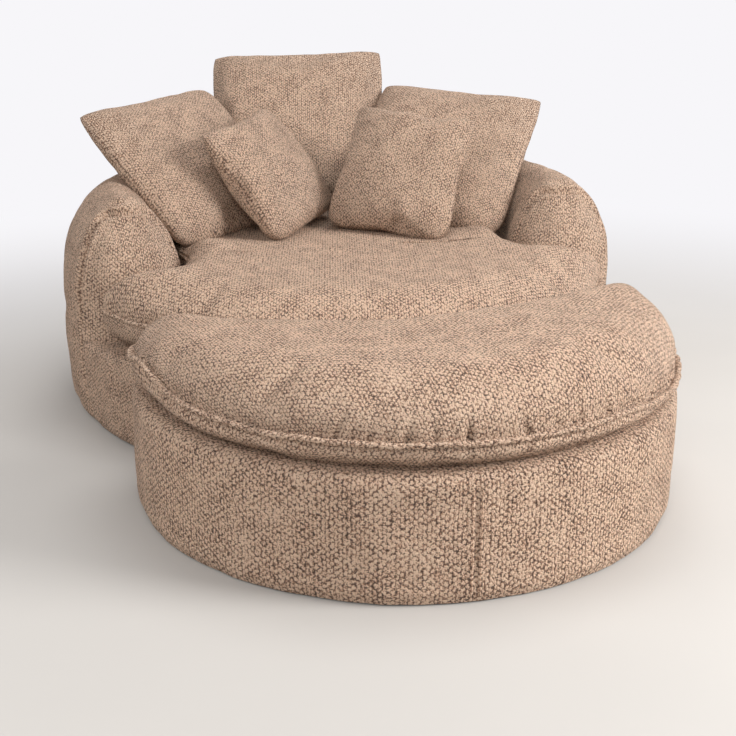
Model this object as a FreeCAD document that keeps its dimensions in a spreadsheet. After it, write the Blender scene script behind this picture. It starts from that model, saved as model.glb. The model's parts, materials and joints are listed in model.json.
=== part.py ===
"""A round lounge chair with a half-moon ottoman, loose cushions and five scatter pillows.

X runs to the right of the chair, Y to its back and Z up; the floor is at zero height.
Angles in plan start at the front of a circle and turn towards +X.
"""
import FreeCAD, Part
import math
import os
import Sketcher
from FreeCAD import Placement, Rotation, Vector

# Driving dimensions, in millimetres and degrees
SIZES = {
    # Where the two pieces of furniture stand
    "chair_y": 287,
    "ottoman_y": -413,
    # Layers of both bases, from the floor up
    "glide_height": 12,
    "glide_radius": 20,
    "panel_thickness": 18,
    "cover_thickness": 4,
    "dust_cover_thickness": 1,
    "hem_height": 3,
    # Chair frame
    "frame_radius": 650,
    "glide_circle": 540,
    "post_width": 45,
    "post_circle": 505,
    "post_height": 170,
    "deck_opening_radius": 400,
    "screw_radius": 2.5,
    "screw_length": 50,
    # Seat suspension
    "webbing_width": 60,
    "webbing_thickness": 2,
    "webbing_pitch": 105,
    "webbing_reach": 440,
    "deck_pad_thickness": 27,
    "deck_cover_thickness": 2,
    "deck_pad_inset": 20,
    # Upholstered side of the chair's base
    "frame_clearance": 2,
    "pad_clearance": 1,
    "pad_gap_angle": 0.1,
    "side_pad_bottom": 14,
    "side_pad_top": 220,
    "side_pad_toe": 694,
    "side_pad_belly": 708,
    "side_pad_shoulder": 706,
    # Back and arms: one roll bent round the seat
    "roll_circle": 575,
    "arm_end_angle": 77,
    "roll_bottom": 230,
    "roll_top": 548,
    "roll_foot_half_width": 122,
    "roll_belly_half_width": 137,
    "roll_belly_level": 322,
    "roll_crown_radius": 92,
    "strip_half_width": 55,
    "strip_end_angle": 5,
    "bolt_radius": 4,
    "bolt_hole_radius": 4.5,
    "bolt_head_radius": 8,
    "bolt_head_height": 6,
    # Seat cushion
    "seat_back_radius": 415,
    "seat_front_radius": 700,
    "seat_tip_edge": 36,
    "seat_bottom": 253,
    "seat_seam": 318,
    "seat_crown": 412,
    "seat_crown_inset": 210,
    "seat_under_inset": 60,
    "seat_welt_width": 6,
    "seat_welt_height": 8,
    # Ottoman
    "ottoman_radius": 586,
    "ottoman_back_radius": 735,
    "ottoman_horn": 80,
    "ottoman_top": 258,
    "ottoman_edge_round": 24,
    "ottoman_side_pad": 45,
    "ottoman_top_panel_bottom": 205,
    "rib_width": 40,
    "ottoman_wide_support_x": 400,
    "ottoman_wide_support_y": -576,
    "ottoman_mid_support_x": 300,
    "ottoman_mid_support_y": -776,
    "ottoman_nose_support_y": -886,
    "ottoman_back_support_y": -646,
    # Ottoman cushion
    "cushion_inset": 10,
    "cushion_back_gap": 26,
    "cushion_turn": -4,
    "cushion_bottom": 262,
    "cushion_seam": 312,
    "cushion_crown": 446,
    "cushion_crown_inset": 170,
    "cushion_under_inset": 70,
    "cushion_flange_width": 14,
    "cushion_flange_height": 7,
    # Scatter pillows
    "large_pillow_depth": 72,
    "small_pillow_depth": 56,
    # Shares of a pillow's half side: how far its sides draw in at the seam and swell at the crown
    "pillow_drawn_in": 0.06,
    "pillow_swell_out": 0.04,
    "pillow_crown_share": 0.16,
}

# Pillow: side, depth, centre from the chair's axis and the floor, the way it faces in plan,
# how far it leans back and its turn in its own plane
PILLOWS = {
    "pillow_left": (455, "large_pillow_depth", (-354, 171, 570), 35, 49, 5),
    "pillow_small_left": (325, "small_pillow_depth", (-166, 62, 560), 48, 37, 7),
    "pillow_back": (480, "large_pillow_depth", (-33, 384, 610), -14, 31, 2),
    "pillow_small_right": (335, "small_pillow_depth", (165, -24, 561), -37, 32, -3),
    "pillow_right": (465, "large_pillow_depth", (312, 132, 567), -32, 48, -4),
}

# Counts, and how round the swell of a cushion is
GLIDES = 8
POSTS = 8
STRAPS_EACH_SIDE = 3
SIDE_PADS = 8
ARM_BOLTS = 7
SWELL_POWER = 2.4
CROWN_STEPS = 5
UNDER_STEPS = 4
PILLOW_STEPS = 5
OTTOMAN_FRONT_PADS = 6
OTTOMAN_BACK_PADS = 4

Z_AXIS = Vector(0, 0, 1)

doc = FreeCAD.newDocument("lounge_chair")
sheet = doc.addObject("Spreadsheet::Sheet", "Sizes")
for row, (alias, value) in enumerate(SIZES.items(), start=1):
    sheet.set(f"A{row}", alias)
    sheet.set(f"B{row}", str(value))
    sheet.setAlias(f"B{row}", alias)
doc.recompute()

sub_parts = []


def size(alias):
    """A driving dimension, read from the sheet."""
    return float(sheet.get(alias))


def keep(item, label):
    """Names a finished sub-part and puts it on the list that is written out."""
    item.Label = label
    sub_parts.append(item)
    return item


def shape_part(label, shape):
    """A sub-part whose shape is built from the sheet's sizes."""
    item = doc.addObject("Part::Feature", label + "_shape")
    item.Shape = shape
    item.Placement = shape.Placement
    return keep(item, label)


def group(label, items):
    """Like pieces that share one node, as separate solids."""
    item = doc.addObject("Part::Compound", label + "_group")
    item.Links = items
    return keep(item, label)


def bind(item, **expressions):
    """Ties properties of an object to the sheet."""
    for name, expression in expressions.items():
        item.setExpression(name.replace("__", "."), expression)


def at(x, y, z):
    """Expressions that hold an object's place."""
    return {"Placement__Base__x": x, "Placement__Base__y": y, "Placement__Base__z": z}


def cylinder(name, radius, height, x, y, z):
    item = doc.addObject("Part::Cylinder", name)
    bind(item, Radius=radius, Height=height, **at(x, y, z))
    return item


def box(name, length, width, height, x, y, z):
    item = doc.addObject("Part::Box", name)
    bind(item, Length=length, Width=width, Height=height, **at(x, y, z))
    return item


def ring_place(circle, degrees):
    """Expressions for a point of a circle round the chair's centre."""
    x = f"Sizes.{circle} * sin({degrees} deg)"
    y = f"Sizes.chair_y - Sizes.{circle} * cos({degrees} deg)"
    return x, y


def round_board(label, radius, thickness, level, opening=None):
    """A round board on the chair's axis, with a round opening if one is named."""
    body = doc.addObject("PartDesign::Body", label + "_body")
    plane = next(f for f in body.Origin.OriginFeatures if f.Role == "XY_Plane")
    sketch = body.newObject("Sketcher::SketchObject", label + "_outline")
    sketch.AttachmentSupport = (plane, [""])
    sketch.MapMode = "FlatFace"
    for alias in [radius] + ([opening] if opening else []):
        edge = sketch.addGeometry(Part.Circle(Vector(), Z_AXIS, size(alias)), False)
        sketch.addConstraint(Sketcher.Constraint("Coincident", edge, 3, -1, 1))
        rule = sketch.addConstraint(Sketcher.Constraint("Radius", edge, size(alias)))
        sketch.setExpression(f"Constraints[{rule}]", f"Sizes.{alias}")
    pad = body.newObject("PartDesign::Pad", label + "_pad")
    pad.Profile = sketch
    bind(pad, Length=thickness)
    bind(body, **at("0", "Sizes.chair_y", level))
    doc.recompute()
    return keep(body, label)


def drill_ring(body, circle, radius, count, first, step):
    """Drills a ring of through holes in a round board, which has to lose their volume."""
    before = body.Shape.Volume
    plane = next(f for f in body.Origin.OriginFeatures if f.Role == "XY_Plane")
    sketch = body.newObject("Sketcher::SketchObject", body.Name + "_holes")
    sketch.AttachmentSupport = (plane, [""])
    sketch.MapMode = "FlatFace"
    for number in range(count):
        degrees = first + number * step
        centre = ring_point(size(circle), degrees, Vector())
        edge = sketch.addGeometry(Part.Circle(centre, Z_AXIS, size(radius)), False)
        rule = sketch.addConstraint(Sketcher.Constraint("Radius", edge, size(radius)))
        sketch.setExpression(f"Constraints[{rule}]", f"Sizes.{radius}")
    pocket = body.newObject("PartDesign::Pocket", body.Name + "_drill")
    pocket.Profile = sketch
    pocket.Type = "ThroughAll"
    pocket.Reversed = True
    body.Tip = pocket
    doc.recompute()
    if not body.Shape.Volume < before:
        raise RuntimeError(f"{body.Label}: the holes cut nothing")


def ring_point(radius, degrees, centre):
    """A point of a circle in plan, by its angle from the front."""
    turn = math.radians(degrees)
    return centre + Vector(radius * math.sin(turn), -radius * math.cos(turn), 0)


def arc(start, middle, end):
    return Part.Arc(start, middle, end).toShape()


def line(start, end):
    return Part.LineSegment(start, end).toShape()


def chair_centre():
    return Vector(0, size("chair_y"), 0)


def ottoman_centre():
    return Vector(0, size("ottoman_y"), 0)


def mirrored(point):
    """The matching point on the other side of the middle plane."""
    return Vector(-point.x, point.y, point.z)


def raised(edges, level):
    """A closed wire of plan edges, lifted to its level."""
    wire = Part.Wire(edges)
    wire.translate(Vector(0, 0, level))
    return wire


def seat_outline(inset, level):
    """Plan of the seat: a round front, a waist round the two arm ends and a round back."""
    centre = chair_centre()
    arm_circle = size("roll_circle")
    back = size("seat_back_radius") - inset
    front = size("seat_front_radius") - inset
    waist = arm_circle - back
    arm_end = ring_point(arm_circle, size("arm_end_angle"), centre)
    reach = waist + size("seat_tip_edge")
    swing = (arm_circle**2 + front**2 - reach**2) / (2 * arm_circle * front)
    tip_angle = size("arm_end_angle") - math.degrees(math.acos(swing))
    tip = ring_point(front, tip_angle, centre)
    outward = (tip - arm_end).normalize()
    inward = (centre - arm_end).normalize()
    waist_start = arm_end + inward * waist
    waist_end = arm_end + outward * waist
    waist_middle = arm_end + (outward + inward).normalize() * waist
    back_point = ring_point(back, 180, centre)
    back_side = ring_point(back, (180 + size("arm_end_angle")) / 2, centre)
    edges = [
        arc(waist_start, back_side, back_point),
        arc(back_point, mirrored(back_side), mirrored(waist_start)),
        arc(mirrored(waist_start), mirrored(waist_middle), mirrored(waist_end)),
        line(mirrored(waist_end), mirrored(tip)),
        arc(mirrored(tip), ring_point(front, 0, centre), tip),
        line(tip, waist_end),
        arc(waist_end, waist_middle, waist_start),
    ]
    return raised(edges, level)


def moon_corner(inset, horn, back_gap=0):
    """Centre of the round of the half-moon's right horn, touching its front and its hollow back."""
    front = size("ottoman_radius") - inset
    back = size("ottoman_back_radius") + back_gap + inset
    gap = size("chair_y") - size("ottoman_y")
    along = ((front - horn)**2 - (back + horn)**2 - gap**2) / (2 * gap)
    across = math.sqrt((back + horn)**2 - along**2)
    return Vector(across, size("chair_y") + along, 0)


def moon_outline(inset, level, horn=None, back_gap=0):
    """Plan of the ottoman: a round front, two rounded horns and a back hollowed round the chair."""
    horn = size("ottoman_horn") if horn is None else horn
    front = size("ottoman_radius") - inset
    back = size("ottoman_back_radius") + back_gap + inset
    corner = moon_corner(inset, horn, back_gap)
    forward = (corner - ottoman_centre()).normalize()
    rearward = (chair_centre() - corner).normalize()
    front_end = corner + forward * horn
    back_end = corner + rearward * horn
    horn_middle = corner + (forward + rearward).normalize() * horn
    nose = ring_point(front, 0, ottoman_centre())
    spread = math.degrees(math.atan2(forward.x, -forward.y))
    front_side = ring_point(front, spread / 2, ottoman_centre())
    edges = [
        arc(nose, front_side, front_end),
        arc(front_end, horn_middle, back_end),
        arc(back_end, ring_point(back, 0, chair_centre()), mirrored(back_end)),
        arc(mirrored(back_end), mirrored(horn_middle), mirrored(front_end)),
        arc(mirrored(front_end), mirrored(front_side), nose),
    ]
    return raised(edges, level)


def swell(steps):
    """Shares of inset and rise for a form that leaves its seam at a slant and flattens out."""
    shares = [number / (steps - 1) for number in range(steps)]
    return [(share, 1 - (1 - share)**SWELL_POWER) for share in shares]


def slab(outline, height):
    """A closed wire raised to a solid."""
    return Part.Face(outline).extrude(Vector(0, 0, height))


def seat_half(seam, end, inset, steps, skin):
    """Half of the seat cushion's form, from its seam to its crown or its underside."""
    sign = 1 if end > seam else -1
    wires = []
    for across, along in swell(steps):
        level = seam + (end - sign * skin - seam) * along
        wires.append(seat_outline(skin + (inset - skin) * across, level))
    return Part.makeLoft(wires, True, False)


def moon_half(seam, end, inset, steps, skin):
    """Half of the ottoman cushion's form, with horns that tighten towards the crown."""
    sign = 1 if end > seam else -1
    start = size("cushion_inset")
    wires = []
    for across, along in swell(steps):
        level = seam + (end - sign * skin - seam) * along
        horn = size("ottoman_horn") * (1 - across / 2)
        wires.append(cushion_outline(start + skin + (inset - skin) * across, level, horn))
    return Part.makeLoft(wires, True, False)


def cushion_outline(inset, level, horn=None):
    """Plan of the loose cushion: the ottoman's, kept off the chair and lying a little askew."""
    wire = moon_outline(inset, level, horn, size("cushion_back_gap"))
    wire.rotate(ottoman_centre(), Z_AXIS, size("cushion_turn"))
    return wire


def roll_section(offset):
    """Right half of the roll's section, about its own upright axis, grown by a cover."""
    foot = Vector(size("roll_foot_half_width") + offset, 0, size("roll_bottom"))
    belly = Vector(size("roll_belly_half_width") + offset, 0, size("roll_belly_level"))
    crown_radius = size("roll_crown_radius") + offset
    crown_level = size("roll_top") - size("roll_crown_radius")
    shoulder = Vector(crown_radius, 0, crown_level)
    slant = crown_radius * math.sqrt(0.5)
    crest = Vector(slant, 0, crown_level + slant)
    top = Vector(0, 0, crown_level + crown_radius)
    foot_middle = Vector(0, 0, size("roll_bottom"))
    edges = [
        line(foot_middle, foot),
        arc(foot, belly, shoulder),
        arc(shoulder, crest, top),
        line(top, foot_middle),
    ]
    return Part.Face(Part.Wire(edges))


def back_and_arm_roll(offset):
    """The roll bent round the seat, with its two ends turned to half domes."""
    circle = size("roll_circle")
    end_angle = size("arm_end_angle")
    outer_half = roll_section(offset)
    inner_half = outer_half.copy()
    inner_half.rotate(Vector(), Z_AXIS, 180)
    centre = chair_centre()
    arm_end = ring_point(circle, end_angle, centre)
    solids = []
    for half in (outer_half, inner_half):
        start = half.copy()
        start.rotate(Vector(), Z_AXIS, end_angle - 90)
        start.translate(arm_end)
        solids.append(start.revolve(centre, Z_AXIS, 360 - 2 * end_angle))
    dome = outer_half.copy()
    dome.rotate(Vector(), Z_AXIS, end_angle - 90)
    dome.translate(arm_end)
    right_dome = dome.revolve(arm_end, Z_AXIS, -180)
    left_dome = right_dome.mirror(Vector(), Vector(1, 0, 0))
    return solids[0].fuse([solids[1], right_dome, left_dome]).removeSplitter()


def turned(profile, start, sweep, centre):
    """A profile drawn outwards from an upright axis and turned round it, by angles from the front."""
    face = Part.Face(Part.Wire(profile))
    face.rotate(Vector(), Z_AXIS, start - 90)
    face.translate(centre)
    return face.revolve(centre, Z_AXIS, sweep)


def pillow_half(side, depth, skin):
    """Front half of a pillow on its own centre: pointed corners, drawn-in sides and a crown."""
    drawn_in = size("pillow_drawn_in")
    swell_out = size("pillow_swell_out")
    shrink = 1 - size("pillow_crown_share")
    wires = []
    for across, along in swell(PILLOW_STEPS):
        reach = (side / 2 - skin) * (1 - shrink * across)
        middle = reach * (1 - drawn_in + (drawn_in + swell_out) * across)
        corners = [Vector(reach, -reach, 0), Vector(reach, reach, 0)]
        corners += [Vector(-reach, reach, 0), Vector(-reach, -reach, 0)]
        middles = [Vector(middle, 0, 0), Vector(0, middle, 0), Vector(-middle, 0, 0), Vector(0, -middle, 0)]
        edges = [arc(corners[n], middles[n], corners[(n + 1) % 4]) for n in range(4)]
        wires.append(raised(edges, (depth - skin) * along))
    return Part.makeLoft(wires, True, False)


def pillow_place(centre, facing, lean, turn):
    """Stands a pillow that was drawn face up: faces it, leans it back and turns it in its plane."""
    stand = Rotation(Vector(1, 0, 0), 90 - lean)
    face = Rotation(Z_AXIS, facing)
    spin = Rotation(Z_AXIS, turn)
    return Placement(chair_centre() + Vector(*centre), face.multiply(stand).multiply(spin))


def make_chair_frame():
    """The timber carcass under the seat, its glides and its fasteners."""
    panel_top = "Sizes.glide_height + Sizes.panel_thickness"
    deck_bottom = panel_top + " + Sizes.post_height"
    glides, posts, screws = [], [], []
    for number in range(GLIDES):
        x, y = ring_place("glide_circle", (number + 0.5) * 360 / GLIDES)
        glides.append(cylinder(f"chair_glide_{number}", "Sizes.glide_radius", "Sizes.glide_height",
                               x, y, "0"))
    for number in range(POSTS):
        x, y = ring_place("post_circle", number * 360 / POSTS)
        half = " - Sizes.post_width / 2"
        posts.append(box(f"chair_post_{number}", "Sizes.post_width", "Sizes.post_width",
                         "Sizes.post_height", x + half, y + half, panel_top))
        screws.append(cylinder(f"chair_screw_{number}", "Sizes.screw_radius", "Sizes.screw_length",
                               x, y, "Sizes.glide_height"))
    group("chair_glides", glides)
    dust_cover = round_board("chair_dust_cover", "frame_radius", "Sizes.dust_cover_thickness",
                             "Sizes.glide_height - Sizes.dust_cover_thickness")
    drill_ring(dust_cover, "glide_circle", "glide_radius", GLIDES, 180 / GLIDES, 360 / GLIDES)
    round_board("chair_base_panel", "frame_radius", "Sizes.panel_thickness", "Sizes.glide_height")
    group("chair_frame_posts", posts)
    group("chair_frame_screws", screws)
    deck = round_board("seat_deck_ring", "frame_radius", "Sizes.panel_thickness", deck_bottom,
                       opening="deck_opening_radius")
    drill_ring(deck, "roll_circle", "bolt_hole_radius", ARM_BOLTS, *arm_bolt_angles())


def arm_bolt_angles():
    """Angle of the first bolt of the arm strip and the step to the next."""
    first = size("arm_end_angle")
    return first, (360 - 2 * first) / (ARM_BOLTS - 1)


def deck_level():
    """Top of the seat deck."""
    return size("glide_height") + 2 * size("panel_thickness") + size("post_height")


def make_seat_suspension():
    """Webbing in two layers on the deck, and the pad and cover that lie on it."""
    deck_top = "Sizes.glide_height + 2 * Sizes.panel_thickness + Sizes.post_height"
    lengthwise, crosswise = [], []
    for number in range(-STRAPS_EACH_SIDE, STRAPS_EACH_SIDE + 1):
        middle = f"Sizes.webbing_pitch * ({number})"
        outer_edge = f"{middle} + Sizes.webbing_width / 2 * {sign(number)}"
        length = f"2 * sqrt(Sizes.webbing_reach^2 - ({outer_edge})^2)"
        side = f"{middle} - Sizes.webbing_width / 2"
        lengthwise.append(box(f"strap_lengthwise_{number + STRAPS_EACH_SIDE}", "Sizes.webbing_width", length,
                              "Sizes.webbing_thickness", side, f"Sizes.chair_y - ({length}) / 2", deck_top))
        crosswise.append(box(f"strap_crosswise_{number + STRAPS_EACH_SIDE}", length, "Sizes.webbing_width",
                             "Sizes.webbing_thickness", f"-({length}) / 2", f"Sizes.chair_y + {side}",
                             deck_top + " + Sizes.webbing_thickness"))
    group("seat_webbing_lengthwise", lengthwise)
    group("seat_webbing_crosswise", crosswise)
    pad_bottom = deck_level() + 2 * size("webbing_thickness")
    outline = seat_outline(size("deck_pad_inset"), pad_bottom)
    shape_part("seat_deck_pad", slab(outline, size("deck_pad_thickness")))
    outline = seat_outline(size("deck_pad_inset"), pad_bottom + size("deck_pad_thickness"))
    shape_part("seat_deck_cover", slab(outline, size("deck_cover_thickness")))


def sign(number):
    return 1 if number >= 0 else -1


def side_profile(inner, offset):
    """Section of the base's side: from its inner radius or a skin's inside to the bulging outside."""
    bottom = size("hem_height") if offset else size("side_pad_bottom")
    top = size("roll_bottom") - size("pad_clearance") if offset else size("side_pad_top")
    levels = [bottom, (bottom + top) / 2, top]
    radii = [size("side_pad_toe"), size("side_pad_belly"), size("side_pad_shoulder")]
    outside = [Vector(radius + offset, 0, level) for radius, level in zip(radii, levels)]
    if inner is None:
        skin = size("cover_thickness")
        inside = [Vector(radius + offset - skin, 0, level) for radius, level in zip(radii, levels)]
        inner_edge = arc(inside[2], inside[1], inside[0])
    else:
        inside = [Vector(inner, 0, bottom), None, Vector(inner, 0, top)]
        inner_edge = line(inside[2], inside[0])
    return [arc(*outside), line(outside[2], inside[2]), inner_edge, line(inside[0], outside[0])]


def make_chair_base_upholstery():
    """Foam pads round the carcass and the cover over them."""
    step = 360 / SIDE_PADS
    pads = []
    for number in range(SIDE_PADS):
        profile = side_profile(size("frame_radius") + size("frame_clearance"), 0)
        pads.append(turned(profile, number * step, step - size("pad_gap_angle"), chair_centre()))
    shape_part("chair_base_side_pads", Part.makeCompound(pads))
    skin_offset = size("cover_thickness") + size("pad_clearance")
    shape_part("chair_base_cover", turned(side_profile(None, skin_offset), 0, 360, chair_centre()))


def make_back_and_arms():
    """The foam roll, its cover, and the strip and bolts that hold it on the deck."""
    circle = size("roll_circle")
    first, step = arm_bolt_angles()
    bottom = deck_level()
    height = size("roll_bottom") - bottom
    inner = circle - size("strip_half_width")
    outer = circle + size("strip_half_width")
    profile = [
        line(Vector(inner, 0, bottom), Vector(outer, 0, bottom)),
        line(Vector(outer, 0, bottom), Vector(outer, 0, bottom + height)),
        line(Vector(outer, 0, bottom + height), Vector(inner, 0, bottom + height)),
        line(Vector(inner, 0, bottom + height), Vector(inner, 0, bottom)),
    ]
    strip_start = first - size("strip_end_angle")
    strip = turned(profile, strip_start, 360 - 2 * strip_start, chair_centre())
    bolts = []
    shank = 2 * size("panel_thickness") - size("bolt_head_height")
    for number in range(ARM_BOLTS):
        centre = ring_point(circle, first + number * step, chair_centre())
        hole = Part.makeCylinder(size("bolt_hole_radius"), height, centre + Vector(0, 0, bottom))
        strip = strip.cut(hole)
        under_deck = centre + Vector(0, 0, bottom - size("panel_thickness"))
        head_place = under_deck - Vector(0, 0, size("bolt_head_height"))
        head = Part.makeCylinder(size("bolt_head_radius"), size("bolt_head_height"), head_place)
        bolts.append(head.fuse(Part.makeCylinder(size("bolt_radius"), shank, under_deck)))
    shape_part("arm_mount_strip", strip)
    shape_part("arm_mount_bolts", Part.makeCompound(bolts))
    foam = back_and_arm_roll(0)
    shape_part("back_and_arm_foam", foam)
    shape_part("back_and_arm_cover", back_and_arm_roll(size("cover_thickness")).cut(foam))


def make_seat_cushion():
    """The loose seat cushion: foam, two cover panels and the welt round their seam."""
    seam = size("seat_seam")
    skin = size("cover_thickness")
    upper = (seam, size("seat_crown"), size("seat_crown_inset"), CROWN_STEPS)
    lower = (seam, size("seat_bottom"), size("seat_under_inset"), UNDER_STEPS)
    foam_top = seat_half(*upper, skin)
    foam_bottom = seat_half(*lower, skin)
    shape_part("seat_cushion_foam", foam_top.fuse(foam_bottom))
    shape_part("seat_cushion_top_cover", seat_half(*upper, 0).cut(foam_top))
    shape_part("seat_cushion_bottom_cover", seat_half(*lower, 0).cut(foam_bottom))
    bottom = seam - size("seat_welt_height") / 2
    outer = slab(seat_outline(-size("seat_welt_width"), bottom), size("seat_welt_height"))
    shape_part("seat_cushion_welt", outer.cut(slab(seat_outline(0, bottom), size("seat_welt_height"))))


def rounded_moon(inset, top, edge_round):
    """The ottoman's block with its top edge rounded over."""
    bottom = size("hem_height")
    block = slab(moon_outline(inset, bottom, size("ottoman_horn") - inset), top - bottom)
    rim = [edge for edge in block.Edges if edge.BoundBox.ZMin > top - 1]
    return block.makeFillet(edge_round, rim)


def ottoman_pad_corners():
    """Corners of the ottoman's side pad, from the boards' edge to the cover, with a rounded top."""
    clear = size("pad_clearance")
    width = size("ottoman_side_pad") - size("cover_thickness") - 2 * clear
    bottom = size("side_pad_bottom")
    top = size("ottoman_top") - size("cover_thickness") - clear
    bend = size("ottoman_edge_round") - size("cover_thickness")
    slant = bend * (1 - math.sqrt(0.5))
    return [Vector(0, 0, bottom), Vector(width, 0, bottom), Vector(width, 0, top - bend),
            Vector(width - slant, 0, top - slant), Vector(width - bend, 0, top), Vector(0, 0, top)]


def ottoman_pad(radius, start, sweep, centre, outwards):
    """One side pad, turned round its centre; outwards pads face away from that centre."""
    side = 1 if outwards else -1
    points = [Vector(radius + side * corner.x, 0, corner.z) for corner in ottoman_pad_corners()]
    profile = [
        line(points[0], points[1]),
        line(points[1], points[2]),
        arc(points[2], points[3], points[4]),
        line(points[4], points[5]),
        line(points[5], points[0]),
    ]
    return turned(profile, start, sweep, centre)


def make_ottoman():
    """The half-moon ottoman: glides, boards and ribs, pads all round and a fitted cover."""
    inset = size("ottoman_side_pad")
    horn = size("ottoman_horn") - inset
    thickness = size("panel_thickness")
    glide = size("glide_height")
    panel_top = glide + thickness
    rib_height = size("ottoman_top_panel_bottom") - panel_top
    wide = Vector(size("ottoman_wide_support_x"), size("ottoman_wide_support_y"), 0)
    mid = Vector(size("ottoman_mid_support_x"), size("ottoman_mid_support_y"), 0)
    nose = Vector(0, size("ottoman_nose_support_y"), 0)
    back = Vector(0, size("ottoman_back_support_y"), 0)
    spots = [wide, mirrored(wide), mid, mirrored(mid), nose, back]
    glides = [Part.makeCylinder(size("glide_radius"), glide, spot) for spot in spots]
    shape_part("ottoman_glides", Part.makeCompound(glides))
    dust_thickness = size("dust_cover_thickness")
    dust = slab(moon_outline(inset, glide - dust_thickness, horn), dust_thickness)
    shape_part("ottoman_dust_cover", dust.cut(Part.makeCompound(glides)))
    shape_part("ottoman_base_panel", slab(moon_outline(inset, glide, horn), thickness))
    width = size("rib_width")
    ribs, screws = [], []
    for spot in spots:
        corner = Vector(spot.x - width / 2, spot.y - width / 2, panel_top)
        ribs.append(Part.makeBox(width, width, rib_height, corner))
        above_glide = Vector(spot.x, spot.y, glide)
        screws.append(Part.makeCylinder(size("screw_radius"), size("screw_length"), above_glide))
    shape_part("ottoman_ribs", Part.makeCompound(ribs))
    shape_part("ottoman_screws", Part.makeCompound(screws))
    top_level = size("ottoman_top_panel_bottom")
    shape_part("ottoman_top_panel", slab(moon_outline(inset, top_level, horn), thickness))
    pad_level = top_level + thickness
    pad_height = size("ottoman_top") - size("cover_thickness") - size("pad_clearance") - pad_level
    shape_part("ottoman_top_pad", slab(moon_outline(inset, pad_level, horn), pad_height))
    make_ottoman_side_pads(inset, horn)
    skin = size("cover_thickness")
    edge_round = size("ottoman_edge_round")
    outer = rounded_moon(0, size("ottoman_top"), edge_round)
    inner = rounded_moon(skin, size("ottoman_top") - skin, edge_round - skin)
    shape_part("ottoman_cover", outer.cut(inner))


def make_ottoman_side_pads(inset, horn):
    """Foam all round the ottoman's boards: front, horns and hollow back, as separate pads."""
    clear = size("pad_clearance")
    gap = size("pad_gap_angle")
    corner = moon_corner(inset, horn)
    forward = corner - ottoman_centre()
    rearward = chair_centre() - corner
    front_angle = math.degrees(math.atan2(forward.x, -forward.y))
    back_angle = math.degrees(math.atan2(corner.x, size("chair_y") - corner.y))
    pads = []
    step = 2 * front_angle / OTTOMAN_FRONT_PADS
    for number in range(OTTOMAN_FRONT_PADS):
        start = -front_angle + number * step
        radius = size("ottoman_radius") - inset + clear
        pads.append(ottoman_pad(radius, start, step - gap, ottoman_centre(), True))
    step = 2 * back_angle / OTTOMAN_BACK_PADS
    for number in range(OTTOMAN_BACK_PADS):
        start = -back_angle + number * step
        radius = size("ottoman_back_radius") + inset - clear
        pads.append(ottoman_pad(radius, start, step - gap, chair_centre(), False))
    horn_end = math.degrees(math.atan2(rearward.x, -rearward.y)) % 360
    right_horn = ottoman_pad(horn + clear, front_angle, horn_end - front_angle - gap, corner, True)
    pads += [right_horn, right_horn.mirror(Vector(), Vector(1, 0, 0))]
    shape_part("ottoman_side_pads", Part.makeCompound(pads))


def make_ottoman_cushion():
    """The loose half-moon cushion: fill, two cover panels and the flange sewn round them."""
    seam = size("cushion_seam")
    skin = size("cover_thickness")
    upper = (seam, size("cushion_crown"), size("cushion_crown_inset"), CROWN_STEPS)
    lower = (seam, size("cushion_bottom"), size("cushion_under_inset"), UNDER_STEPS)
    fill_top = moon_half(*upper, skin)
    fill_bottom = moon_half(*lower, skin)
    shape_part("ottoman_cushion_fill", fill_top.fuse(fill_bottom))
    shape_part("ottoman_cushion_top_cover", moon_half(*upper, 0).cut(fill_top))
    shape_part("ottoman_cushion_bottom_cover", moon_half(*lower, 0).cut(fill_bottom))
    inset = size("cushion_inset")
    height = size("cushion_flange_height")
    bottom = seam - height / 2
    width = size("cushion_flange_width")
    outer = slab(cushion_outline(inset - width, bottom, size("ottoman_horn") + width), height)
    shape_part("ottoman_cushion_flange", outer.cut(slab(cushion_outline(inset, bottom), height)))


def make_pillow(label, side, depth, centre, facing, lean, turn):
    """A scatter pillow: its fill and the two panels sewn together round it."""
    skin = size("cover_thickness")
    outer = pillow_half(side, size(depth), 0)
    inner = pillow_half(side, size(depth), skin)
    panel = outer.cut(inner)
    flat = Vector(0, 0, 1)
    pieces = {
        "fill": inner.fuse(inner.mirror(Vector(), flat)),
        "front_panel": panel,
        "back_panel": panel.mirror(Vector(), flat),
    }
    place = pillow_place(centre, facing, lean, turn)
    for name, shape in pieces.items():
        item = shape_part(f"{label}_{name}", shape)
        item.Placement = place


def build():
    make_chair_frame()
    make_seat_suspension()
    make_chair_base_upholstery()
    make_back_and_arms()
    make_seat_cushion()
    make_ottoman()
    make_ottoman_cushion()
    for label, values in PILLOWS.items():
        make_pillow(label, *values)
    doc.recompute()


def check_and_write():
    """Stops if anything failed, then writes one file for each sub-part."""
    for item in doc.Objects:
        if "Invalid" in item.State or "Error" in item.State:
            raise RuntimeError(f"{item.Label} failed: {item.State}")
    for item in sub_parts:
        if item.Shape.isNull() or not item.Shape.isValid():
            raise RuntimeError(f"{item.Label} has no valid shape")
        if not item.Shape.Solids:
            raise RuntimeError(f"{item.Label} has no solid")
    os.makedirs("parts", exist_ok=True)
    for item in sub_parts:
        item.Shape.exportStep(f"parts/{item.Label}.step")
        print(f"{item.Label}: {len(item.Shape.Solids)} solid(s), {item.Shape.Volume / 1e6:.2f} litres")


build()
check_and_write()
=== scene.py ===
"""Dresses the round lounge chair and its half-moon ottoman in chunky chenille."""
import json
import math
from functools import partial

import bmesh
import bpy
import numpy as np
from mathutils import Matrix, Vector, noise


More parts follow.
